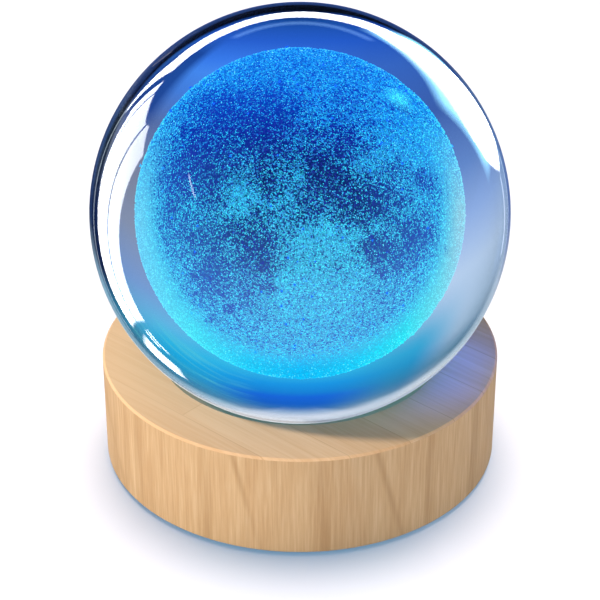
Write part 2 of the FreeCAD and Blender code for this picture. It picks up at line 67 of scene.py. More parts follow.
# Where the ball, the moon and the base are, from the frame
BALL_LOW, BALL_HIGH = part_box("crystal_ball")
BALL_CENTRE = Vector((0.0, 0.0, (BALL_LOW.z + BALL_HIGH.z) / 2))
BALL_INSET = 0.02 * MM
BALL_RADIUS = (BALL_HIGH.z - BALL_LOW.z) / 2 - BALL_INSET
MOON_LOW, MOON_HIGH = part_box("engraved_moon")
MOON_RADIUS = (MOON_HIGH.z - MOON_LOW.z) / 2
BASE_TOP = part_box("wooden_base")[1].z

# The camera, fitted to the outlines of the ball and of the base
VIEW_HEIGHT = 32.5 * MM
VIEW_DISTANCE = 395.0 * MM
VIEW_PITCH = math.radians(31.0)
LENS_MM = 121.2
SENSOR_MM = 36.0

FACE = Vector((0.0, -math.cos(VIEW_PITCH), math.sin(VIEW_PITCH)))
EYE = Vector((0.0, 0.0, VIEW_HEIGHT)) + VIEW_DISTANCE * FACE

# The side of the moon that is engraved to face the front, tilted up to the eye
MOON_FACE = (EYE - BALL_CENTRE).normalized()
MOON_RIGHT = Vector((1.0, 0.0, 0.0))
MOON_UP = MOON_RIGHT.cross(-MOON_FACE)


def linear(hex_colour):
    """Turn an sRGB hex colour into linear red, green, blue and alpha."""
    channels = [int(hex_colour[i:i + 2], 16) / 255 for i in (1, 3, 5)]
    parts = [c / 12.92 if c <= 0.04045 else ((c + 0.055) / 1.055) ** 2.4 for c in channels]
    return (*parts, 1.0)


def per_mm(size):
    """Texture scale, in cycles per metre, of a pattern that repeats every so many millimetres."""
    return 1 / (size * MM)


def feed(tree, node, inputs):
    """Fill a node's inputs with values, hex colours or links; a node gives its first output in use."""
    for name, value in inputs.items():
        if isinstance(value, bpy.types.Node):
            value = next(output for output in value.outputs if output.enabled)
        if isinstance(value, bpy.types.NodeSocket):
            tree.links.new(value, node.inputs[name])
        else:
            node.inputs[name].default_value = linear(value) if isinstance(value, str) else value


def add(tree, kind, inputs=None, stops=(), **settings):
    """Add a shader node; set its properties, its inputs, and its ramp from hex colours or greys."""
    node = tree.nodes.new("ShaderNode" + kind)
    for name, value in settings.items():
        setattr(node, name, value)
    feed(tree, node, inputs or {})
    for i, (place, tone) in enumerate(stops):
        elements = node.color_ramp.elements
        element = elements[i] if i < len(elements) else elements.new(place)
        element.position = place
        element.color = linear(tone) if isinstance(tone, str) else (tone, tone, tone, 1.0)
    return node


def tones_by(tree, value, stops):
    """Tones along a value, from stops of that value and a hex colour or a grey."""
    low, high = stops[0][0], stops[-1][0]
    place = add(tree, "MapRange", {"Value": value, "From Min": low, "From Max": high})
    return add(tree, "ValToRGB", {"Fac": place},
               stops=[((at - low) / (high - low), tone) for at, tone in stops])


def within(tree, value, low, high, soft):
    """1 where a value lies between two others and 0 outside them, with soft ends."""
    over = add(tree, "MapRange", {"Value": value, "From Min": low - soft, "From Max": low + soft})
    under = add(tree, "MapRange", {"Value": value, "From Min": high + soft, "From Max": high - soft})
    return add(tree, "Math", {0: over, 1: under}, operation="MULTIPLY")


def patch(tree, bearing, height, sides, ends, soft):
    """1 in a patch of sky between two bearings and two heights."""
    wide = within(tree, bearing, *sides, soft)
    tall = within(tree, height, *ends, soft)
    return add(tree, "Math", {0: wide, 1: tall}, operation="MULTIPLY")


def streaked(tree, place, sizes_mm, detail, turn=(0.0, 0.0, 0.0), **more):
    """Noise drawn out along the axes, with streaks as long, wide and high as the sizes given."""
    scale = tuple(per_mm(size) for size in sizes_mm)
    along = add(tree, "Mapping", {"Vector": place, "Rotation": turn, "Scale": scale})
    return add(tree, "TexNoise", {"Vector": along, "Scale": 1.0, "Detail": detail, **more})


def step_part(tree, value, step_mm, start):
    """How far a value is, from 0 to 1, through a step that repeats every so many millimetres."""
    count = add(tree, "Math", {0: value, 1: per_mm(step_mm), 2: start}, operation="MULTIPLY_ADD")
    return add(tree, "Math", {0: count}, operation="FRACT")


def new_finish(name):
    """Start a material; give it, its tree, its Principled surface and the place in the lamp's frame."""
    material = bpy.data.materials.new(name)
    material.use_nodes = True
    tree = material.node_tree
    place = add(tree, "TexCoord").outputs["Object"]
    return material, tree, tree.nodes["Principled BSDF"], place


def new_piece(name, shape, body, node, material):
    """Make a mesh object from a bmesh, ride it on its body in place of a CAD node and dress it."""
    mesh = bpy.data.meshes.new(name)
    shape.to_mesh(mesh)
    shape.free()
    piece = bpy.data.objects.new(name, mesh)
    bpy.context.scene.collection.objects.link(piece)
    mesh.materials.append(material)
    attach(piece, body)
    if node:
        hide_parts(node)
    return piece


def dress(material, *nodes):
    """Give CAD nodes their finish."""
    for node in nodes:
        for material_slot in frame["nodes"][node].material_slots:
            material_slot.material = material


# Wood

STRIP_WIDTH_MM = 11.0
STRIP_LENGTH_MM = 64.0
STRIP_TURN = math.radians(42)
# Painted light: the top is painted paler towards the left, where more light falls on it
PAINTED_LEFT_LIGHT_START = -10 * MM
PAINTED_LEFT_LIGHT_END = -36 * MM
# Darker growth lines that lean across the side
GROWTH_STEP_MM = 26.7
GROWTH_LEAN = math.radians(14)
GROWTH_START = 0.77


def turned_beech():
    """Beech strips, glued, turned, sanded and oiled: warm tan, fine fibres, faint joints, bands."""
    material, tree, surface, place = new_finish("Beech, turned and oiled")
    normal = add(tree, "NewGeometry").outputs["Normal"]
    upright = add(tree, "SeparateXYZ", {"Vector": normal}).outputs["Z"]
    level = add(tree, "Math", {0: upright}, operation="ABSOLUTE")
    is_top = add(tree, "MapRange", {"Value": level, "From Min": 0.35, "From Max": 0.6})

    # Top: strips with butt joints, each of its own tone
    turned = add(tree, "Mapping", {"Vector": place, "Rotation": (0, 0, STRIP_TURN)})
    strips = add(
        tree, "TexBrick",
        {"Vector": turned, "Color1": "#e4c8a6", "Color2": "#c8a27a", "Mortar": "#9c7444",
         "Scale": per_mm(STRIP_WIDTH_MM), "Mortar Size": 0.016, "Mortar Smooth": 1.0, "Bias": 0.0,
         "Brick Width": STRIP_LENGTH_MM / STRIP_WIDTH_MM, "Row Height": 1.0},
        offset=0.37, offset_frequency=2).outputs["Color"]
    fibres = streaked(tree, turned, (26.0, 0.6, 4.0), 5.0, Roughness=0.6, Distortion=0.3)
    rings = streaked(tree, turned, (55.0, 4.5, 10.0), 3.0, Distortion=1.0)
    fibre_tone = add(
        tree, "ValToRGB", {"Fac": fibres},
        stops=[(0.28, "#ba9568"), (0.5, "#d2b28d"), (0.75, "#e4cbab")])
    ring_tone = add(
        tree, "ValToRGB", {"Fac": rings},
        stops=[(0.32, "#c19d75"), (0.5, "#d4b492"), (0.68, "#dec3a3")])
    grain = add(tree, "Mix", {0: 0.5, 6: fibre_tone, 7: ring_tone}, data_type="RGBA")
    glued_tone = add(tree, "Mix", {0: 0.4, 6: grain, 7: strips}, data_type="RGBA")
    parts = add(tree, "SeparateXYZ", {"Vector": place}).outputs
    # Painted light: the top turns paler towards the left
    painted_left_light = add(
        tree, "MapRange",
        {"Value": parts["X"], "From Min": PAINTED_LEFT_LIGHT_START, "From Max": PAINTED_LEFT_LIGHT_END, "To Max": 0.5})
    top_tone = add(tree, "Mix", {0: painted_left_light, 6: glued_tone, 7: "#f2cea6"}, data_type="RGBA")

    # Side: fine upright streaks, soft bands, and a few leaning darker ones
    streaks = streaked(tree, place, (0.4, 0.4, 12.0), 4.0, Roughness=0.6)
    bands = streaked(tree, place, (6.0, 6.0, 60.0), 3.0, Distortion=0.4)
    leaning = streaked(tree, place, (5.0, 9.0, 70.0), 2.0, turn=(0.0, GROWTH_LEAN, 0.0))
    streak_tone = add(
        tree, "ValToRGB", {"Fac": streaks},
        stops=[(0.25, "#ab875d"), (0.5, "#c5a57c"), (0.75, "#dcc39d")])
    band_tone = add(
        tree, "ValToRGB", {"Fac": bands},
        stops=[(0.3, "#bf9b70"), (0.5, "#c5a57c"), (0.7, "#ccae85")])
    upright_tone = add(tree, "Mix", {0: 0.45, 6: streak_tone, 7: band_tone}, data_type="RGBA")
    is_leaning = add(
        tree, "MapRange", {"Value": leaning, "From Min": 0.57, "From Max": 0.68, "To Max": 0.3})
    lean_across = add(
        tree, "Math", {0: parts["Z"], 1: math.tan(GROWTH_LEAN), 2: parts["X"]},
        operation="MULTIPLY_ADD")
    growth_part = step_part(tree, lean_across, GROWTH_STEP_MM, GROWTH_START)
    growth_line = within(tree, growth_part, 0.49, 0.52, 0.02)
    broken = add(tree, "MapRange", {"Value": bands, "From Min": 0.3, "From Max": 0.6, "To Max": 0.48})
    growth = add(tree, "Math", {0: growth_line, 1: broken}, operation="MULTIPLY")
    darker = add(tree, "Math", {0: growth, 1: is_leaning}, operation="MAXIMUM")
    side_tone = add(tree, "Mix", {0: darker, 6: upright_tone, 7: "#8f6838"}, data_type="RGBA")

    tone = add(tree, "Mix", {0: is_top, 6: side_tone, 7: top_tone}, data_type="RGBA")
    height = add(tree, "Mix", {0: is_top, 2: streaks, 3: fibres}, data_type="FLOAT")
    bump = add(tree, "Bump", {"Height": height, "Strength": 0.25, "Distance": 0.05 * MM})
    gloss = add(tree, "MapRange", {"Value": height, "To Min": 0.66, "To Max": 0.5})
    feed(tree, surface, {"Base Color": tone, "Roughness": gloss, "Normal": bump, "IOR": 1.45})
    return material


# Glass ball

GLASS_IOR = 1.52
# Times that the faces of a fine ball are split
FINE_STEPS = 7


def polished_glass():
    """Optical glass, ground and polished: clear, a little bluer low down as a painted tint of the light
    beneath, sharp reflections.
    """
    material, tree, surface, place = new_finish("Optical glass, polished")
    level = add(tree, "SeparateXYZ", {"Vector": place}).outputs["Z"]
    # Painted light: bluer towards the bottom, where the blue light comes from below
    painted_blue_tint = tones_by(tree, level, [(BALL_LOW.z, "#e9f2ff"), (BALL_HIGH.z, "#f1f5fc")])
    feed(tree, surface,
         {"Base Color": painted_blue_tint, "Roughness": 0.0, "IOR": GLASS_IOR, "Transmission Weight": 1.0})
    return material


def glass_ball(material):
    """The ball itself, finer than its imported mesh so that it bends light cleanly."""
    shape = bmesh.new()
    bmesh.ops.create_icosphere(
        shape, subdivisions=FINE_STEPS, radius=BALL_RADIUS, matrix=Matrix.Translation(BALL_CENTRE))
    for face in shape.faces:
        face.smooth = True
    new_piece("glass_ball", shape, "ball", "crystal_ball", material)


# Moon

SEAS = (
    # across, up and reach on the face in moon radii, and how much of the dots is missing
    (-0.17, 0.55, 0.26, 0.78), (-0.50, 0.46, 0.29, 0.74), (-0.71, 0.28, 0.22, 0.60),
    (-0.56, 0.16, 0.24, 0.54), (-0.20, 0.28, 0.21, 0.58), (0.16, 0.37, 0.21, 0.64),
    (0.31, 0.43, 0.15, 0.52), (0.13, 0.16, 0.21, 0.70), (0.31, 0.07, 0.20, 0.70),
    (0.49, 0.04, 0.15, 0.64), (0.55, 0.22, 0.12, 0.42), (0.67, -0.14, 0.17, 0.52),
    (-0.23, -0.24, 0.17, 0.70), (-0.29, -0.08, 0.17, 0.66), (-0.53, -0.38, 0.15, 0.62),
    (-0.71, -0.08, 0.20, 0.46), (-0.50, -0.20, 0.20, 0.58), (0.25, 0.67, 0.12, 0.44),
    (-0.44, 0.64, 0.12, 0.58), (0.02, 0.02, 0.12, 0.30), (-0.34, -0.44, 0.15, 0.48),
    (0.45, -0.20, 0.13, 0.62), (0.54, -0.28, 0.13, 0.48), (-0.86, 0.10, 0.14, 0.30),
)
CRATERS = (
    # the same for round spots with sharper edges
    (0.73, 0.19, 0.09, 0.54), (0.67, -0.13, 0.10, 0.50), (0.44, -0.20, 0.08, 0.60),
    (0.46, -0.35, 0.05, 0.62), (0.57, -0.30, 0.045, 0.50), (-0.17, -0.42, 0.055, 0.66),
    (-0.24, -0.27, 0.07, 0.60), (-0.41, -0.55, 0.035, 0.80), (-0.53, -0.36, 0.08, 0.50),
    (0.57, 0.63, 0.05, 0.66), (0.62, 0.59, 0.04, 0.60), (0.88, -0.22, 0.035, 0.60),
    (-0.17, 0.56, 0.12, 0.50), (0.30, 0.09, 0.09, 0.45), (0.13, 0.18, 0.08, 0.45),
    (-0.55, -0.62, 0.03, 0.60),
)
BRIGHT_RAYS = (
    # across, up and reach of the places where the dots lie thickest, and how much thicker
    (-0.35, 0.07, 0.135, 0.36), (0.00, 0.22, 0.08, 0.26), (0.16, -0.14, 0.18, 0.26),
    (0.10, -0.38, 0.33, 0.24), (0.70, 0.37, 0.18, 0.24), (0.43, -0.10, 0.07, 0.26),
    (0.02, -0.68, 0.40, 0.12), (-0.60, 0.02, 0.08, 0.20), (0.66, 0.50, 0.36, 0.20),
)
FAR_SEAS = (
    # the same for the hidden side, laid out as seen from behind
    (0.30, 0.35, 0.22, 0.60), (-0.35, -0.20, 0.30, 0.50), (0.15, -0.45, 0.18, 0.55),
    (-0.10, 0.60, 0.16, 0.45),
)
GROUND_SHARE = 0.74
LEAST_SHARE = 0.24
SEA_LOSS = 0.82
# Sizes and frequencies of the noise that frets the seas, and of the one that mottles the ground
RAGGED = ((0.05, 6.0), (0.04, 15.0), (0.04, 34.0))
MOTTLED = ((0.14, 9.0), (0.10, 28.0))
UNLIT_SHARE = 0.35
SEA_DEPTH_MM = 0.35
SPECK_MM = 0.19
CLUMP_MM = 0.5
DOT_COUNT = 32768
DOT_SIZES_MM = (0.12, 0.24)
BIG_DOT_MM = 0.55
BIG_DOT_SHARE = 0.004
DOT_LAYER_MM = 0.3
# How far the middle of a dot stands off the ground, in its sizes
DOT_LIFT = 0.15

# How far from the middle of the seen disc a spot of the moon shows, by its angle from the face: the
# ball bends the view, so that a little of the far side shows round the edge
SEEN_REACHES = np.linspace(0.0, 1.0, 101)
SEEN_ANGLES = (np.arcsin(SEEN_REACHES) + np.arcsin(GLASS_IOR * MOON_RADIUS / BALL_RADIUS * SEEN_REACHES)
               - np.arcsin(MOON_RADIUS / BALL_RADIUS * SEEN_REACHES))
LAST_SEEN = SEEN_ANGLES[-1]
FAR_REACH = 0.3
# The same noise and the same dots in each run
noise.seed_set(11)
DOT_SEED = 7


def seen_place(way):
    """Across, up and off the middle of the seen disc, in its radii, for a way out of the moon."""
    angle = way.angle(MOON_FACE)
    if angle < LAST_SEEN:
        reach = float(np.interp(angle, SEEN_ANGLES, SEEN_REACHES))
    else:
        reach = float(np.interp(angle, (LAST_SEEN, math.pi), (1.0, FAR_REACH)))
    flat = Vector((way.dot(MOON_RIGHT), way.dot(MOON_UP)))
    if flat.length > 0:
        flat *= reach / flat.length
    return Vector((flat.x, flat.y, reach))


def dot_share(way):
    """Share of the places along a direction from the moon's middle where the laser made a dot."""
    seen = seen_place(way)
    front = way.angle(MOON_FACE) < LAST_SEEN
    ragged = Vector()
    for size, frequency in RAGGED:
        ragged += size * noise.noise_vector(way * frequency)
    share = GROUND_SHARE
    for size, frequency in MOTTLED:
        share += size * noise.noise(way * frequency)
    for across, up, reach, loss in SEAS if front else FAR_SEAS:
        away = math.hypot(seen.x + ragged.x - across, seen.y + ragged.y - up) / reach
        if away < 1.0:
            share *= 1.0 - SEA_LOSS * loss * (1.0 - away ** 2) ** 0.8
    for across, up, reach, loss in CRATERS if front else ():
        away = math.hypot(seen.x + ragged.x / 2 - across, seen.y + ragged.y / 2 - up) / reach
        if away < 1.0:
            share *= 1.0 - loss * (1.0 - away ** 4)
    for across, up, reach, gain in BRIGHT_RAYS if front else ():
        away = math.hypot(seen.x + ragged.x - across, seen.y + ragged.y - up) / reach
        if away < 1.0:
            share += gain * (1.0 - away ** 2)
    return min(max(share, LEAST_SHARE), 1.0)


def seen_face(tree):
    """Across, up and off the middle of the moon's seen face, and how strong a painted glow is near its
    lower edge.
    """
    seen = add(tree, "Attribute", attribute_name="seen_place").outputs["Vector"]
    face = add(tree, "SeparateXYZ", {"Vector": seen}).outputs
    at_edge = add(tree, "MapRange", {"Value": face["Z"], "From Min": 0.77, "From Max": 0.95},
                  interpolation_type="SMOOTHSTEP")
    is_low = add(tree, "MapRange", {"Value": face["Y"], "From Min": 0.6, "From Max": 0.0})
    lower_rim_glow = add(tree, "Math", {0: at_edge, 1: is_low}, operation="MULTIPLY")
    return face, lower_rim_glow


def rim_glow_tones(tree, face, lower_rim_glow, stops):
    """Tones from the bottom of the seen face to its top, with a painted cyan glow at its lower edge."""
    tones = tones_by(tree, face["Y"], stops)
    rim_glow_tone = tones_by(tree, face["X"], [
        (-0.95, "#6acbe8"), (-0.8, "#5fd6ec"), (-0.62, "#4adfec"), (-0.3, "#1cc6ea"),
        (0.0, "#08b6e8"), (0.3, "#14c6ea"), (0.62, "#2cdee6"), (0.82, "#6cd5e0"),
        (0.95, "#92cbda")])
    return add(tree, "Mix", {0: lower_rim_glow, 6: tones, 7: rim_glow_tone}, data_type="RGBA")


def lit_dull(material, tree, surface, glow, strength):
    """Make a surface glow with a colour and be a dull, darker form of it in other light."""
    unlit = add(tree, "VectorMath", {0: glow, "Scale": UNLIT_SHARE}, operation="SCALE")
    # The glow is painted light: it stands in for the base's light scattered by the laser dots
    feed(tree, surface, {"Base Color": unlit, "Roughness": 0.8, "Specular IOR Level": 0.0,
                         "Emission Color": glow, "Emission Strength": strength})
    material.cycles.emission_sampling = "NONE"
    return material


def moon_ground_finish():
    """Fine laser dots seen as a haze: specks of light in a dark blue ground, fewer in the seas."""
    material, tree, surface, place = new_finish("Laser haze in glass, lit")
    face, lower_rim_glow = seen_face(tree)
    # Azure on top, navy seas, lilac below
    deep = tones_by(tree, face["Y"], [
        (-0.98, "#0890d8"), (-0.85, "#5674b4"), (-0.5, "#42609e"), (-0.25, "#284a88"),
        (0.0, "#12346e"), (0.25, "#082460"), (0.5, "#042484"), (0.75, "#0044b8"),
        (0.98, "#0060cc")])
    veil = tones_by(tree, face["Y"], [
        (-0.2, "#3470c4"), (0.2, "#2458c0"), (0.45, "#0834aa"), (0.9, "#0450cc")])
    off_middle = add(tree, "MapRange",
                     {"Value": face["Z"], "From Min": 0.35, "From Max": 0.8, "To Max": 0.7})
    ground = add(tree, "Mix", {0: off_middle, 6: deep, 7: veil}, data_type="RGBA")
    haze = rim_glow_tones(tree, face, lower_rim_glow, [
        (-0.98, "#10c0f4"), (-0.8, "#58c8f0"), (-0.25, "#4cc8f0"), (0.0, "#40c0f4"),
        (0.25, "#34b0f4"), (0.5, "#209cfa"), (0.98, "#1896fa")])
    share = add(tree, "Attribute", attribute_name="dot_share").outputs["Fac"]
    # Real dots are some 0.05 mm apart; the specks are four times as coarse so that they still show
    specks = add(tree, "TexVoronoi", {"Vector": place, "Scale": per_mm(SPECK_MM)}, feature="F1")
    clumps = add(tree, "TexVoronoi", {"Vector": place, "Scale": per_mm(CLUMP_MM)}, feature="F1")
    draw = add(tree, "SeparateColor", {"Color": specks.outputs["Color"]})
    clump = add(tree, "SeparateColor", {"Color": clumps.outputs["Color"]}).outputs["Red"]
    clumped = add(tree, "Math", {0: clump, 1: 0.2, 2: share}, operation="MULTIPLY_ADD")
    # Painted light: near the lower edge more specks are lit and the dimmest ones are brighter
    chance = add(tree, "Math", {0: lower_rim_glow, 1: 0.8, 2: clumped}, operation="MULTIPLY_ADD")
    ahead = add(tree, "Math", {0: chance, 1: draw.outputs["Red"]}, operation="SUBTRACT")
    is_lit = add(tree, "MapRange", {"Value": ahead, "From Min": 0.1, "From Max": 0.3})
    weakest = add(tree, "MapRange", {"Value": lower_rim_glow, "To Min": 0.3, "To Max": 0.75})
    power = add(tree, "MapRange", {"Value": draw.outputs["Green"], "To Min": weakest, "To Max": 1.0})
    lit = add(tree, "Math", {0: is_lit, 1: power}, operation="MULTIPLY")
    # Each speck bends the light its own way, so some lean to teal and the gaps between some to indigo
    inner = add(tree, "Math", {0: 1.0, 1: lower_rim_glow}, operation="SUBTRACT")
    hue = draw.outputs["Blue"]
    to_teal = add(tree, "MapRange", {"Value": hue, "From Min": 0.45, "From Max": 0.1, "To Max": 0.5})
    to_indigo = add(tree, "MapRange", {"Value": hue, "From Min": 0.5, "From Max": 0.9, "To Max": 0.5})
    inner_teal = add(tree, "Math", {0: to_teal, 1: inner}, operation="MULTIPLY")
    inner_indigo = add(tree, "Math", {0: to_indigo, 1: inner}, operation="MULTIPLY")
    haze = add(tree, "Mix", {0: inner_teal, 6: haze, 7: "#30dce0"}, data_type="RGBA")
    ground = add(tree, "Mix", {0: inner_indigo, 6: ground, 7: "#2c30b4"}, data_type="RGBA")
    glow = add(tree, "Mix", {0: lit, 6: ground, 7: haze}, data_type="RGBA")
    return lit_dull(material, tree, surface, glow, 1.1)


def moon_dots_finish():
    """Single laser dots, tiny cracks that catch the light: each of its own tone, pale to deep blue."""
    material, tree, surface, _ = new_finish("Laser dots in glass, lit")
    face, lower_rim_glow = seen_face(tree)
    dots = rim_glow_tones(tree, face, lower_rim_glow, [
        (-0.98, "#1cd4fc"), (-0.5, "#50e4f8"), (0.0, "#3ceaf6"), (0.5, "#2cd4fa"),
        (0.98, "#2cb4fe")])
    tone = add(tree, "Attribute", attribute_name="dot_tone").outputs["Fac"]
    pale = add(tree, "MapRange", {"Value": tone, "From Min": 0.75, "From Max": 1.0, "To Max": 0.7})
    deep = add(tree, "MapRange", {"Value": tone, "From Min": 0.2, "From Max": 0.05, "To Max": 0.9})
    inner = add(tree, "Math", {0: 1.0, 1: lower_rim_glow}, operation="SUBTRACT")
    deep = add(tree, "Math", {0: deep, 1: inner}, operation="MULTIPLY")
    lighter = add(tree, "Mix", {0: pale, 6: dots, 7: "#7cf4ff"}, data_type="RGBA")
    glow = add(tree, "Mix", {0: deep, 6: lighter, 7: "#1450e8"}, data_type="RGBA")
    return lit_dull(material, tree, surface, glow, 1.3)


def ground_reach(share):
    """Distance of the ground from the moon's middle, lower in the seas where fewer dots are."""
    return MOON_RADIUS - (DOT_LAYER_MM + SEA_DEPTH_MM * (1.0 - share)) * MM


def moon_ground(material):
    """The globe under the dots, sunk where its seas are."""
    shape = bmesh.new()
    bmesh.ops.create_icosphere(shape, subdivisions=FINE_STEPS, radius=1.0)
    shares = []
    places = []
    for vertex in shape.verts:
        way = vertex.co.normalized()
        shares.append(dot_share(way))
        places.extend(seen_place(way))
        vertex.co = BALL_CENTRE + ground_reach(shares[-1]) * way
    for face in shape.faces:
        face.smooth = True
    piece = new_piece("moon_ground", shape, "ball", "engraved_moon", material)
    attributes = piece.data.attributes
    attributes.new("dot_share", "FLOAT", "POINT").data.foreach_set("value", shares)
    attributes.new("seen_place", "FLOAT_VECTOR", "POINT").data.foreach_set("vector", places)


def moon_dots(material):
    """A thin shell of single dots round the globe, drawn at random and fewer over the seas."""
    draws = random.Random(DOT_SEED)
    # One dot is a three-sided cone of size 1, which is doubled until there are enough
    shape = bmesh.new()
    bmesh.ops.create_cone(shape, cap_ends=True, segments=3, radius1=0.5, radius2=0.0, depth=0.7)
    # It is read back from a mesh so that each dot's corners and faces stay in order
    single = bpy.data.meshes.new("single_dot")
    shape.to_mesh(single)
    shape.clear()
    shape.from_mesh(single)
    bpy.data.meshes.remove(single)
    while len(shape.verts) < 4 * DOT_COUNT:
        bmesh.ops.duplicate(shape, geom=shape.verts[:] + shape.edges[:] + shape.faces[:])
    piece = new_piece("moon_dots", shape, "ball", None, material)
    corners = np.array([v.co for v in piece.data.vertices], float).reshape(DOT_COUNT, -1, 3)
    tones = np.zeros((DOT_COUNT, corners.shape[1]), np.float32)
    places = np.zeros(corners.shape, np.float32)
    for i in range(DOT_COUNT):
        while True:
            way = Vector([draws.gauss(0, 1) for _ in range(3)]).normalized()
            share = dot_share(way)
            if draws.random() < share:
                break
        tone = draws.random()
        size = (BIG_DOT_MM if tone < BIG_DOT_SHARE else draws.uniform(*DOT_SIZES_MM)) * MM
        turned = Vector([draws.gauss(0, 1) for _ in range(3)]).to_track_quat("Z", "Y").to_matrix()
        reach = ground_reach(share) + DOT_LIFT * size
        corners[i] = corners[i] @ (np.array(turned).T * size) + np.array(BALL_CENTRE + reach * way)
        tones[i] = tone
        places[i] = seen_place(way)
    piece.data.vertices.foreach_set("co", corners.ravel())
    attributes = piece.data.attributes
    attributes.new("dot_tone", "FLOAT", "POINT").data.foreach_set("value", tones.ravel())
    attributes.new("seen_place", "FLOAT_VECTOR", "POINT").data.foreach_set("vector", places.ravel())

    # A map for baking: a grid with a cell for each dot and a quarter of it for each of its four faces
    across = math.ceil(math.sqrt(DOT_COUNT))
    cells = np.stack(np.divmod(np.arange(DOT_COUNT), across)[::-1], axis=1)
    quarters = np.array([(0.0, 0.0), (0.5, 0.0), (0.0, 0.5), (0.5, 0.5)])
    triangle = np.array([(0.08, 0.08), (0.42, 0.08), (0.08, 0.42)])
    spots = cells[:, None, None, :] + quarters[None, :, None, :] + triangle[None, None, :, :]
    bake_map = piece.data.uv_layers.new(name="OFBake")
    bake_map.uv.foreach_set("vector", (spots / across).astype(np.float32).ravel())


# Light and inner pieces

LED_COUNT = 6
LED_CIRCLE = 8.56 * MM
LED_SPOT_REACH = 7 * MM
# How far the roughness of a moulded or metal skin goes either way from its middle
GLOSS_PLAY = 0.08


def opal_disc():
    """Opal acrylic, moulded and frosted: milky white, lit blue, with six paler spots over the LEDs."""
    material, tree, surface, place = new_finish("Acrylic, moulded opal and frosted")
    parts = add(tree, "SeparateXYZ", {"Vector": place})
    turn = add(tree, "Math", {0: parts.outputs["Y"], 1: parts.outputs["X"]}, operation="ARCTAN2")
    turns = add(tree, "Math", {0: turn, 1: LED_COUNT}, operation="MULTIPLY")
    wave = add(tree, "Math", {0: turns}, operation="COSINE")
    flat = add(tree, "VectorMath", {0: place, 1: (1.0, 1.0, 0.0)}, operation="MULTIPLY")
    away = add(tree, "VectorMath", {0: flat}, operation="LENGTH").outputs["Value"]
    off_circle = add(tree, "Math", {0: away, 1: LED_CIRCLE}, operation="SUBTRACT")
    off = add(tree, "Math", {0: off_circle}, operation="ABSOLUTE")
    near = add(tree, "MapRange", {"Value": off, "From Min": LED_SPOT_REACH, "From Max": 0.0},
               interpolation_type="SMOOTHSTEP")
    swell = add(tree, "MapRange", {"Value": wave, "From Min": -1.0, "To Min": 0.25})
    spot = add(tree, "Math", {0: near, 1: swell}, operation="MULTIPLY")
    glow = add(tree, "Mix", {0: spot, 6: "#1c62e8", 7: "#9cc8ff"}, data_type="RGBA")
    frost = add(tree, "TexNoise", {"Vector": place, "Scale": per_mm(0.3), "Detail": 2.0})
    bump = add(tree, "Bump", {"Height": frost, "Strength": 0.3, "Distance": 0.02 * MM})
    feed(tree, surface, {"Base Color": "#eaf0f8", "Roughness": 0.55, "Normal": bump,
                         "Emission Color": glow, "Emission Strength": 1.4})
    return material


def led_resin():
    """Clear resin, cast and lit: a bright blue window with a paler die showing through."""
    material, tree, surface, place = new_finish("Silicone resin, cast clear and lit")
    cloud = add(tree, "TexNoise", {"Vector": place, "Scale": per_mm(1.2), "Detail": 2.0})
    glow = add(tree, "ValToRGB", {"Fac": cloud}, stops=[(0.4, "#2a6cf4"), (0.62, "#b4dcff")])
    feed(tree, surface, {"Base Color": "#e8ecf4", "Roughness": 0.12,
                         "Emission Color": glow, "Emission Strength": 2.5})
    return material


def moulded(name, dark, light, grit_mm, depth_mm, gloss):
    """Moulded plastic or rubber: soft clouds of tone where it flowed, a grit that breaks its sheen."""
    material, tree, surface, place = new_finish(name)
    flow = add(tree, "TexNoise", {"Vector": place, "Scale": per_mm(7.0), "Detail": 3.0})
    grit = add(tree, "TexNoise", {"Vector": place, "Scale": per_mm(grit_mm), "Detail": 2.0})
    tone = add(tree, "ValToRGB", {"Fac": flow}, stops=[(0.35, dark), (0.65, light)])
    rough = add(tree, "MapRange", {"Value": grit, "From Min": 0.3, "From Max": 0.7,
                                   "To Min": gloss - GLOSS_PLAY, "To Max": gloss + GLOSS_PLAY})
    bump = add(tree, "Bump", {"Height": grit, "Strength": 0.6, "Distance": depth_mm * MM})
    feed(tree, surface, {"Base Color": tone, "Roughness": rough, "Normal": bump})
    return material


def metal(name, dark, light, grain_mm, gloss):
    """Metal with a grain: streaks of tone and of sheen as long and wide as the three sizes given."""
    material, tree, surface, place = new_finish(name)
    grain = streaked(tree, place, grain_mm, 4.0)
    tone = add(tree, "ValToRGB", {"Fac": grain}, stops=[(0.3, dark), (0.7, light)])
    rough = add(tree, "MapRange", {"Value": grain, "From Min": 0.3, "From Max": 0.7,
                                   "To Min": gloss + GLOSS_PLAY, "To Max": gloss - GLOSS_PLAY})
    feed(tree, surface, {"Base Color": tone, "Roughness": rough, "Metallic": 1.0})
    return material


def circuit_board():
    """Glass cloth and epoxy, laminated under white ink: faint raised copper tracks show through."""
    material, tree, surface, place = new_finish("Glass-epoxy, laminated and masked white")
    tracks = add(
        tree, "TexBrick",
        {"Vector": place, "Color1": "#e9ebe6", "Color2": "#e1e5de", "Mortar": "#cfd6ca",
         "Scale": per_mm(2.2), "Mortar Size": 0.09, "Mortar Smooth": 0.2, "Brick Width": 2.6,
         "Row Height": 1.0})
    bump = add(tree, "Bump", {"Height": tracks.outputs["Fac"], "Strength": 0.5, "Distance": 0.03 * MM})
    feed(tree, surface, {"Base Color": tracks.outputs["Color"], "Roughness": 0.42, "Normal": bump})
    return material


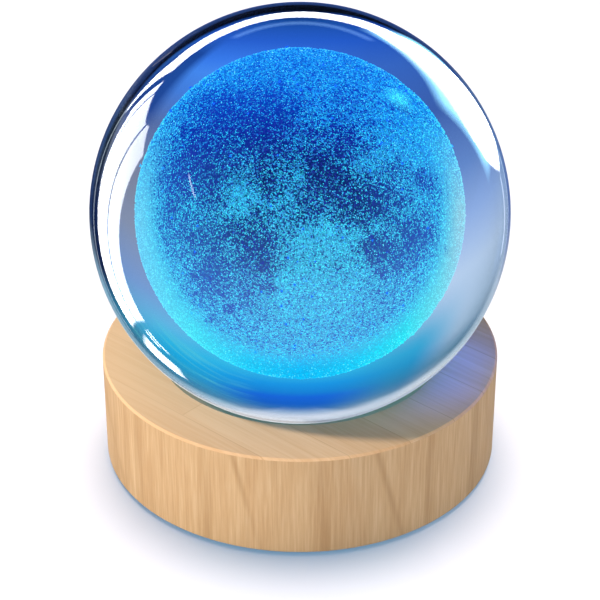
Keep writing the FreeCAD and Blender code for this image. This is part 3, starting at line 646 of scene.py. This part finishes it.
def socket_tongue():
    """Moulded black nylon with plated contacts: gold stripes 0.5 mm apart on a dull black tongue."""
    material, tree, surface, place = new_finish("Nylon, moulded black, gold-plated contacts")
    across = add(tree, "SeparateXYZ", {"Vector": place}).outputs["X"]
    part = step_part(tree, across, 0.5, 0.25)
    stripe = add(tree, "MapRange", {"Value": part, "From Min": 0.46, "From Max": 0.54})
    out = add(tree, "Math", {0: across}, operation="ABSOLUTE")
    inside = add(tree, "MapRange", {"Value": out, "From Min": 3.0 * MM, "From Max": 2.9 * MM})
    gold = add(tree, "Math", {0: stripe, 1: inside}, operation="MULTIPLY")
    tone = add(tree, "Mix", {0: gold, 6: "#141416", 7: "#d2a548"}, data_type="RGBA")
    feed(tree, surface, {"Base Color": tone, "Metallic": gold, "Roughness": 0.38})
    return material


def cell_laminate():
    """Aluminium foil laminated with nylon and embossed: dull silver with a fine waffle."""
    material, tree, surface, place = new_finish("Aluminium laminate, embossed")
    # The real waffle is 0.5 mm; it is drawn at 0.8 mm so that it still shows
    waffle = add(tree, "TexVoronoi", {"Vector": place, "Scale": per_mm(0.8)}, feature="SMOOTH_F1")
    tone = add(tree, "ValToRGB", {"Fac": waffle}, stops=[(0.1, "#c9ccd0"), (0.7, "#a7abb1")])
    bump = add(tree, "Bump", {"Height": waffle, "Strength": 0.5, "Distance": 0.05 * MM})
    feed(tree, surface, {"Base Color": tone, "Metallic": 0.85, "Roughness": 0.36, "Normal": bump})
    return material


def foam_tape():
    """Polyethylene foam, cut from sheet: chalky white, pitted by open cells."""
    material, tree, surface, place = new_finish("Polyethylene foam, cut from sheet")
    cells = add(tree, "TexVoronoi", {"Vector": place, "Scale": per_mm(0.4)}, feature="F1")
    tone = add(tree, "ValToRGB", {"Fac": cells}, stops=[(0.15, "#c4c4bd"), (0.5, "#e8e8e2")])
    bump = add(tree, "Bump", {"Height": cells, "Strength": 0.8, "Distance": 0.1 * MM})
    feed(tree, surface, {"Base Color": tone, "Roughness": 0.9, "Normal": bump})
    return material


def amber_tape():
    """Polyimide film, wound: clear amber over green, darker in bands where its turns overlap."""
    material, tree, surface, place = new_finish("Polyimide film, wound")
    across = add(tree, "SeparateXYZ", {"Vector": place}).outputs["X"]
    part = step_part(tree, across, 4.0, 0.1)
    tone = add(tree, "ValToRGB", {"Fac": part},
               stops=[(0.0, "#8f5410"), (0.24, "#94580f"), (0.28, "#c48426"),
                      (1.0, "#bd7d22")])
    wrinkle = add(tree, "TexNoise", {"Vector": place, "Scale": per_mm(1.8), "Detail": 3.0})
    bump = add(tree, "Bump", {"Height": wrinkle, "Strength": 0.4, "Distance": 0.06 * MM})
    feed(tree, surface, {"Base Color": tone, "Roughness": 0.22, "Normal": bump})
    return material


def dress_inner_pieces():
    """Finishes of the light module, the cell, the cover and the feet."""
    dress(opal_disc(), "diffuser_lens")
    dress(led_resin(), "led_windows")
    dress(circuit_board(), "main_board")
    dress(socket_tongue(), "usb_socket_tongue")
    dress(cell_laminate(), "battery_cell")
    dress(foam_tape(), "cell_pad")
    dress(amber_tape(), "cell_protection_board")
    # Bright satin white that throws the light upwards
    dress(moulded("ABS, moulded white", "#e6e6e2", "#f5f5f2", 0.3, 0.006, 0.4), "light_cup")
    # Waxy off-white
    dress(moulded("Acetal, moulded", "#e2e0d8", "#efeee8", 0.25, 0.004, 0.34), "switch_plunger")
    # Chalky white
    dress(moulded("Polyphthalamide, moulded white", "#ebebe6", "#f7f7f4", 0.2, 0.004, 0.55),
          "led_chips")
    # Charcoal with a matt, slightly sandy skin
    dress(moulded("Epoxy, transfer moulded", "#17181a", "#232427", 0.15, 0.006, 0.62),
          "control_chip", "charge_chip")
    # Dull tan, like unglazed pottery
    dress(moulded("Ceramic, pressed and fired", "#8a6f4e", "#b09572", 0.3, 0.01, 0.6), "board_passives")
    # Plain black with a low sheen
    dress(moulded("Nylon, moulded black", "#121214", "#1c1c1f", 0.2, 0.005, 0.45), "switch_body")
    # Warm white with a silky touch
    dress(moulded("ABS, moulded satin", "#e3ded2", "#efebe1", 0.22, 0.006, 0.46), "mode_button")
    # Black with a spark-worn texture, so its sheen is broken into points
    dress(moulded("ABS, moulded with a spark texture", "#141416", "#202023", 0.45, 0.03, 0.58),
          "bottom_cover")
    # Dead matt black with a faint crumb
    dress(moulded("Silicone rubber, die cut", "#1b1b1d", "#2a2a2d", 0.35, 0.015, 0.78), "rubber_feet")
    # Smooth insulation with a soft shine
    dress(moulded("PVC, extruded red", "#9c1511", "#c0241c", 0.5, 0.008, 0.36), "battery_lead_red")
    dress(moulded("PVC, extruded black", "#101012", "#1c1c1e", 0.5, 0.008, 0.36), "battery_lead_black")
    # Warm silver with drawing lines that run into the socket
    dress(metal("Steel, drawn and nickel plated", "#a9a8a2", "#dad8d1", (0.25, 9.0, 0.25), 0.26),
          "usb_socket_shell")
    # Cooler, duller silver with a fine crystal grain
    dress(metal("Steel, cold headed and zinc plated", "#8f949b", "#c4c8cd", (0.35, 0.35, 0.35), 0.38),
          "cover_screws", "board_screws")


# Stage

def plain_floor():
    """A pale, slightly glossy sheet that the lamp stands on."""
    shape = bmesh.new()
    bmesh.ops.create_grid(shape, x_segments=1, y_segments=1, size=2.0)
    mesh = bpy.data.meshes.new("floor")
    shape.to_mesh(mesh)
    shape.free()
    floor = bpy.data.objects.new("floor", mesh)
    bpy.context.scene.collection.objects.link(floor)
    material, tree, surface, _ = new_finish("White card, satin")
    feed(tree, surface, {"Base Color": "#ccd0d6", "Roughness": 0.28, "IOR": 1.4})
    mesh.materials.append(material)
    floor.visible_glossy = False
    floor.visible_transmission = False
    return floor


# What the glass mirrors, in degrees: bearings from the back, positive to the right, and heights
WINDOW_SILL = (
    (-44.0, -43.3), (-42.0, -28.0), (-41.0, -8.0), (-39.5, 0.0), (-34.0, -5.0), (-32.0, 2.0),
    (-28.0, 8.5), (-21.0, 10.5), (-14.0, 12.5), (0.0, 11.8), (6.5, 11.0), (12.0, 7.5), (17.0, 5.0),
    (19.0, -4.0), (20.5, -10.0), (22.0, -16.0), (24.0, -18.0), (36.0, -17.0), (42.0, -13.5),
    (47.0, -9.5), (50.0, -6.0), (51.5, -2.0), (52.5, 3.0),
)
WINDOW_TOP = (
    (-70.5, 13.0), (-60.0, 17.0), (-56.0, 14.5), (-42.0, 14.0), (-34.0, 17.0), (-26.0, 20.0),
    (-17.0, 21.5), (0.0, 21.5), (8.0, 21.0), (16.0, 19.5), (26.0, 22.0), (35.0, 22.0), (43.0, 18.5),
    (48.0, 15.0), (51.0, 11.0), (52.5, 6.5),
)
WINDOW_BARS = ((-58.2, -57.0), (-43.0, -42.2), (-38.5, -34.8))
# Small panes below: their bearings, their heights and how soft their ends are
WINDOW_PANES = (
    ((-55.0, -41.0), (-55.8, -46.8), 1.2), ((-66.8, -65.2), (-53.0, -45.6), 0.6),
    ((-63.2, -61.6), (-50.5, -45.6), 0.6),
)
WINDOW_LIGHT = (9.5, 9.8, 10.0, 1.0)
# Fainter lights, in the same form and with their colours: pale patches below, a cyan band, pale lines,
# a streak over the window and a cyan glint
FAINT_LIGHTS = (
    ((-30.0, -6.0), (-62.0, -30.0), 3.0, "#a8c8d8"), ((-13.0, 2.0), (-60.0, -33.0), 2.0, "#ffffff"),
    ((12.0, 48.0), (-32.0, -15.0), 3.0, "#6a86bc"), ((2.0, 34.0), (-64.0, -30.0), 4.0, "#d4e2f0"),
    ((-20.0, 20.0), (-76.0, -60.0), 4.0, "#e8eef6"),
    ((18.0, 53.0), (-6.0, 20.5), 3.5, (4.0, 9.5, 12.0, 1.0)),
    ((-33.6, -32.4), (-42.0, 3.0), 0.4, (1.2, 1.4, 1.6, 1.0)),
    ((26.0, 27.2), (-34.0, -17.0), 0.4, (0.9, 1.1, 1.5, 1.0)),
    ((36.0, 38.0), (-30.0, -17.0), 0.4, (1.3, 1.5, 1.9, 1.0)),
    ((-20.0, 22.0), (26.5, 30.0), 1.2, (0.6, 1.2, 1.9, 1.0)),
    ((59.0, 69.5), (39.5, 47.0), 3.7, (0.8, 10.0, 8.0, 1.0)),
)
# A thin glint on the left of the moon, whose bearing leans with its height
GLINT = ((-155.0, -153.0), (21.8, 27.8), 0.6)
GLINT_SLANT = -1.75
GLINT_LIGHT = (8.0, 9.5, 11.0, 1.0)
# Streaks in the bent look: how close together across the ball's edge and, per degree, along it
STREAKS_ACROSS = 34.0
STREAKS_ALONG = 0.05
BENT_STRENGTH = 1.12


def mirrored_look(tree, bearing, height):
    """A bright window with bars, shut out below by the edge of a dark table; dim blue elsewhere."""
    # A ramp holds 0 to 1, so heights from -90 to 90 degrees are brought into that range
    sill = tones_by(tree, bearing, [(at, level / 180 + 0.5) for at, level in WINDOW_SILL])
    top = tones_by(tree, bearing, [(at, level / 180 + 0.5) for at, level in WINDOW_TOP])
    level = add(tree, "MapRange", {"Value": height, "From Min": -90.0, "From Max": 90.0})
    over = add(tree, "Math", {0: level, 1: sill}, operation="SUBTRACT")
    under = add(tree, "Math", {0: top, 1: level}, operation="SUBTRACT")
    # Its top edge is soft at the right
    slope = add(tree, "MapRange", {"Value": bearing, "From Min": 10.0, "From Max": 28.0,
                                   "To Min": 1.0, "To Max": 0.22})
    gently_under = add(tree, "Math", {0: under, 1: slope}, operation="MULTIPLY")
    least = add(tree, "Math", {0: over, 1: gently_under}, operation="MINIMUM")
    inside = add(tree, "MapRange", {"Value": least, "From Min": -0.002, "From Max": 0.005})
    opening = add(tree, "Math", {0: inside, 1: 3.0}, operation="POWER")
    across = within(tree, bearing, -70.5, 52.5, 0.6)
    window = add(tree, "Math", {0: opening, 1: across}, operation="MULTIPLY")
    for left, right in WINDOW_BARS:
        bar = within(tree, bearing, left, right, 0.3)
        gap = add(tree, "Math", {0: 1.0, 1: bar}, operation="SUBTRACT")
        window = add(tree, "Math", {0: window, 1: gap}, operation="MULTIPLY")
    for sides, ends, soft in WINDOW_PANES:
        pane = patch(tree, bearing, height, sides, ends, soft)
        window = add(tree, "Math", {0: window, 1: pane}, operation="MAXIMUM")
    dim = tones_by(tree, height, [
        (-80, "#0a1428"), (-30, "#0c1830"), (-16, "#35559a"), (-5, "#2f4d92"),
        (-2, "#04060c"), (14, "#020308"), (24, "#04070f"), (34, "#0a1630"),
        (75, "#0c1830")])
    jamb = patch(tree, bearing, height, (-40.0, -26.0), (-34.0, 12.0), 1.5)
    shaded = add(tree, "Mix", {0: jamb, 6: dim, 7: "#0e1a36"}, data_type="RGBA")
    faint = shaded
    for sides, ends, soft, colour in FAINT_LIGHTS:
        spot = patch(tree, bearing, height, sides, ends, soft)
        faint = add(tree, "Mix", {0: spot, 6: faint, 7: colour}, data_type="RGBA")
    slanted = add(tree, "Math", {0: height, 1: GLINT_SLANT, 2: bearing}, operation="MULTIPLY_ADD")
    glint = patch(tree, slanted, height, *GLINT)
    faint = add(tree, "Mix", {0: glint, 6: faint, 7: GLINT_LIGHT}, data_type="RGBA")
    return add(tree, "Mix", {0: window, 6: faint, 7: WINDOW_LIGHT}, data_type="RGBA")


def bent_look(tree, way, bearing, height):
    """Royal blue below, lilac grey at the sides, azure, then white behind, a dark edge."""
    side = add(tree, "SeparateXYZ", {"Vector": way}).outputs["X"]
    to_left = tones_by(tree, height, [
        (-86, "#0a2c66"), (-80, "#1e55ac"), (-68, "#2860cc"), (-58, "#3c6cc4"),
        (-45, "#4165ad"), (-32, "#6c90cc"), (-22, "#9cb8e4"), (-10, "#c8dcf0"),
        (2, "#c0d8ec"), (9, "#b4d0e4"), (14, "#94b8d0"), (19, "#7aa8c0"),
        (23, "#98bcd0"), (28, "#d0e0ea"), (33, "#ffffff")])
    to_right = tones_by(tree, height, [
        (-86, "#0a2c66"), (-80, "#1e55ac"), (-68, "#2c66d4"), (-60, "#3e82ee"),
        (-56, "#4a90f2"), (-50, "#4a84dc"), (-42, "#5c74a8"), (-30, "#858ca0"),
        (-20, "#8f98aa"), (-7, "#82a4d4"), (4, "#70bce4"), (9, "#50b4d8"), (16, "#4aa4c4"),
        (24, "#60a4c0"), (32, "#88b8cc"), (38, "#f4f8ff")])
    between_left = tones_by(tree, height, [
        (-12, "#84b0dc"), (0, "#60b8da"), (6, "#38b0d8"), (11, "#2ca2d0"),
        (16, "#3498c4"), (20, "#4094be"), (24, "#5898c0"), (28, "#80acc8"),
        (37, "#e4ecf4")])
    between_right = tones_by(tree, height, [
        (-12, "#84b0dc"), (0, "#66c4e8"), (6, "#34c4ea"), (11, "#22b8e8"),
        (16, "#2cb2de"), (20, "#38aad6"), (24, "#46a6d0"), (29, "#5ca8cc"),
        (33, "#8cbcd4"), (39, "#f4f8ff")])
    behind = tones_by(tree, height, [
        (-12, "#6aa8dc"), (0, "#4cbce4"), (6, "#38c0e8"), (11, "#1e9fe6"),
        (15, "#1c8cdc"), (18, "#1c6fe0"), (23, "#1c6cd4"), (27, "#3a80c8"),
        (31, "#7fa8d0"), (38, "#f4f8ff")])
    # Navy band beside the window at the upper left
    navy_place = patch(tree, bearing, height, (49.5, 80.0), (-65.0, -40.0), 4.0)
    navy = add(tree, "Math", {0: navy_place, 1: 0.85}, operation="MULTIPLY")
    to_right = add(tree, "Mix", {0: navy, 6: to_right, 7: "#16408f"}, data_type="RGBA")
    turn = add(tree, "MapRange", {"Value": side, "From Min": -0.25, "From Max": 0.25})
    beside = add(tree, "Mix", {0: turn, 6: to_left, 7: to_right}, data_type="RGBA")
    between = add(tree, "Mix", {0: turn, 6: between_left, 7: between_right}, data_type="RGBA")
    shifted = add(tree, "Math", {0: bearing, 1: 2.0}, operation="SUBTRACT")
    off_back = add(tree, "Math", {0: shifted}, operation="ABSOLUTE")
    raised = add(tree, "MapRange", {"Value": height, "From Min": -12.0, "From Max": 4.0},
                 interpolation_type="SMOOTHSTEP")
    around = beside
    for inner, outer, tones in ((28.0, 46.0, between), (6.0, 27.0, behind)):
        near = add(tree, "MapRange", {"Value": off_back, "From Min": outer, "From Max": inner},
                   interpolation_type="SMOOTHSTEP")
        share = add(tree, "Math", {0: near, 1: raised}, operation="MULTIPLY")
        around = add(tree, "Mix", {0: share, 6: around, 7: tones}, data_type="RGBA")

    # Streaks that follow the edge of the ball, teal at the lower left
    ahead = add(tree, "VectorMath", {0: way, 1: tuple(-FACE)}, operation="DOT_PRODUCT").outputs["Value"]
    ring = add(tree, "Math", {0: ahead, 1: STREAKS_ACROSS}, operation="MULTIPLY")
    along = add(tree, "Math", {0: bearing, 1: STREAKS_ALONG}, operation="MULTIPLY")
    edge_place = add(tree, "CombineXYZ", {"X": ring, "Y": along})
    streaks = add(tree, "TexNoise", {"Vector": edge_place, "Scale": 1.0, "Detail": 2.0})
    teal_place = patch(tree, bearing, height, (14.0, 58.0), (3.0, 25.0), 5.0)
    teal_draw = add(tree, "MapRange",
                    {"Value": streaks, "From Min": 0.5, "From Max": 0.68, "To Max": 0.6})
    teal = add(tree, "Math", {0: teal_place, 1: teal_draw}, operation="MULTIPLY")
    with_teal = add(tree, "Mix", {0: teal, 6: around, 7: "#66d8e0"}, data_type="RGBA")

    reach = tones_by(tree, side, [(-0.75, 0.25), (-0.45, 0.40), (-0.1, 0.50), (0.1, 0.50),
                                  (0.45, 0.50), (0.8, 0.47)])
    past = add(tree, "Math", {0: reach, 1: ahead}, operation="SUBTRACT")
    past_edge = within(tree, past, 0.0, 0.7, 0.025)
    low = add(tree, "MapRange", {"Value": height, "From Min": 14.0, "From Max": 2.0})
    # Light that bounces twice inside the ball leaves almost sideways, where it is dark too
    sideways = add(tree, "MapRange", {"Value": ahead, "From Min": 0.24, "From Max": 0.17})
    off = add(tree, "Math", {0: bearing}, operation="ABSOLUTE")
    # The height where that starts, in hundreds of degrees
    floor_level = tones_by(tree, off, [(0, 0.46), (30, 0.44), (50, 0.34), (90, 0.26)])
    over_level = add(tree, "Math", {0: floor_level, 1: -100.0, 2: height}, operation="MULTIPLY_ADD")
    raised_there = add(tree, "MapRange", {"Value": over_level, "From Min": -2.0, "From Max": 3.0})
    high_sideways = add(tree, "Math", {0: sideways, 1: raised_there}, operation="MULTIPLY")
    lowered = add(tree, "Math", {0: low, 1: high_sideways}, operation="MAXIMUM")
    rim = add(tree, "Math", {0: past_edge, 1: lowered}, operation="MULTIPLY")
    rim_side = tones_by(tree, side, [(-0.6, "#3c5eb2"), (0.0, "#060a16"), (0.6, "#0f1c40")])
    rim_tone = tones_by(tree, height, [(-32, 0.0), (-16, 1.0)])
    rim_colour = add(tree, "Mix", {0: rim_tone, 6: "#020409", 7: rim_side}, data_type="RGBA")
    edged = add(tree, "Mix", {0: rim, 6: with_teal, 7: rim_colour}, data_type="RGBA")
    # Light that bounces once inside the ball comes back to the front, where the room is dark
    returned = tones_by(tree, ahead, [(-0.96, "#020409"), (-0.90, "#0c2c74"), (-0.5, "#1648a8")])
    is_back = add(tree, "MapRange", {"Value": ahead, "From Min": -0.35, "From Max": -0.5})
    edged = add(tree, "Mix", {0: is_back, 6: edged, 7: returned}, data_type="RGBA")
    return add(tree, "VectorMath", {0: edged, "Scale": BENT_STRENGTH}, operation="SCALE")


def studio():
    """A plain soft room, with its own looks for what the glass mirrors and for what it bends."""
    world = bpy.data.worlds.new("studio")
    bpy.context.scene.world = world
    world.use_nodes = True
    tree = world.node_tree
    way = add(tree, "TexCoord").outputs["Generated"]
    parts = add(tree, "SeparateXYZ", {"Vector": way})
    turn = add(tree, "Math", {0: parts.outputs["X"], 1: parts.outputs["Y"]}, operation="ARCTAN2")
    bearing = add(tree, "Math", {0: turn}, operation="DEGREES")
    tilt = add(tree, "Math", {0: parts.outputs["Z"]}, operation="ARCSINE")
    height = add(tree, "Math", {0: tilt}, operation="DEGREES")
    mirrored = mirrored_look(tree, bearing, height)
    bent = bent_look(tree, way, bearing, height)
    soft = tones_by(tree, height, [(-5, "#b4aea8"), (60, "#a8a39e")])
    path = add(tree, "LightPath").outputs
    open_room = add(tree, "Mix", {0: path["Is Camera Ray"], 6: soft, 7: "#f6f8fb"}, data_type="RGBA")
    in_glass = add(tree, "Mix", {0: path["Is Transmission Ray"], 6: mirrored, 7: bent},
                   data_type="RGBA")
    unscattered = add(tree, "Math", {0: path["Diffuse Depth"], 1: 0.5}, operation="LESS_THAN")
    by_glass = add(tree, "Math", {0: path["Is Singular Ray"], 1: unscattered}, operation="MULTIPLY")
    seen = add(tree, "Mix", {0: by_glass, 6: open_room, 7: in_glass}, data_type="RGBA")
    feed(tree, tree.nodes["Background"], {"Color": seen, "Strength": 1.0})


def lamp(name, kind, place, aim, power, hex_colour, receivers, blockers=None, **settings):
    """Add a soft light that points at a place and lights only its receivers; blockers may shade them."""
    data = bpy.data.lights.new(name, kind)
    data.energy = power
    data.color = linear(hex_colour)[:3]
    for setting, value in settings.items():
        setattr(data, setting, value)
    light = bpy.data.objects.new(name, data)
    bpy.context.scene.collection.objects.link(light)
    light.location = place
    light.rotation_mode = "QUATERNION"
    light.rotation_quaternion = (Vector(aim) - Vector(place)).to_track_quat("-Z", "Y")
    light.visible_camera = False
    light.visible_glossy = False
    light.visible_transmission = False
    light.light_linking.receiver_collection = receivers
    light.light_linking.blocker_collection = blockers


def studio_lamps(floor):
    """A window light from the left, two soft fills, a blue glow by the ball, two floor lights."""
    on_lamp = bpy.data.collections.new("lit lamp")
    on_floor = bpy.data.collections.new("lit floor")
    for piece in bpy.context.scene.objects:
        if piece.type == "MESH" and piece != floor:
            on_lamp.objects.link(piece)
    on_floor.objects.link(floor)
    in_base = bpy.data.collections.new("base pieces")
    for base_node in frame["record"]["behaviour"]["bodies"]["base"]:
        in_base.objects.link(frame["nodes"][base_node])
    middle = (0.0, 0.0, BASE_TOP)
    foot = (0.0, 0.0, 0.0)
    lamp("window", "AREA", (-0.454, -0.165, 0.465), middle, 4.1, "#fff0de", on_lamp,
         shape="DISK", size=0.07)
    lamp("fill", "AREA", (-0.35, -0.55, 0.38), middle, 1.0, "#ffeed8", on_lamp,
         shape="DISK", size=0.3)
    lamp("side fill", "AREA", (0.40, -0.64, 0.06), middle, 1.4, "#fff6e8", on_lamp,
         shape="DISK", size=0.5)
    glow = {"shape": "DISK", "size": 0.006, "spread": math.radians(105)}
    lamp("blue glow", "AREA", (0.034, -0.0185, 0.0375), (0.0225, -0.0115, BASE_TOP), 0.0017, "#0c58ff",
         on_lamp, **glow)
    lamp("back glow", "AREA", (0.0388, -0.004, 0.0375), (0.0275, -0.0005, BASE_TOP), 0.0016, "#0c58ff",
         on_lamp, **glow)
    lamp("floor front", "SUN", (0.0, -2.7, 2.1), foot, 2.34, "#7cc8ff", on_floor, on_floor,
         angle=math.radians(29.5))
    lamp("floor light", "SUN", (0.0, 0.87, 2.7), foot, 4.85, "#ffe9d9", on_floor, in_base,
         angle=math.radians(45.8))


def camera():
    """Look down at the lamp from the front."""
    data = bpy.data.cameras.new("camera")
    data.lens = LENS_MM
    data.sensor_width = SENSOR_MM
    data.clip_start = 0.01
    eye = bpy.data.objects.new("camera", data)
    bpy.context.scene.collection.objects.link(eye)
    eye.location = EYE
    eye.rotation_mode = "QUATERNION"
    eye.rotation_quaternion = (-FACE).to_track_quat("-Z", "Y")
    bpy.context.scene.camera = eye


# The glass neither mirrors the base nor shows it; there it shows the world's painted blue haze instead
for base_node in frame["record"]["behaviour"]["bodies"]["base"]:
    frame["nodes"][base_node].visible_transmission = False
    frame["nodes"][base_node].visible_glossy = False
dress(turned_beech(), "wooden_base")
dress_inner_pieces()
glass_ball(polished_glass())
moon_ground(moon_ground_finish())
moon_dots(moon_dots_finish())
studio()
studio_lamps(plain_floor())
camera()
bpy.context.scene.view_settings.view_transform = "Standard"
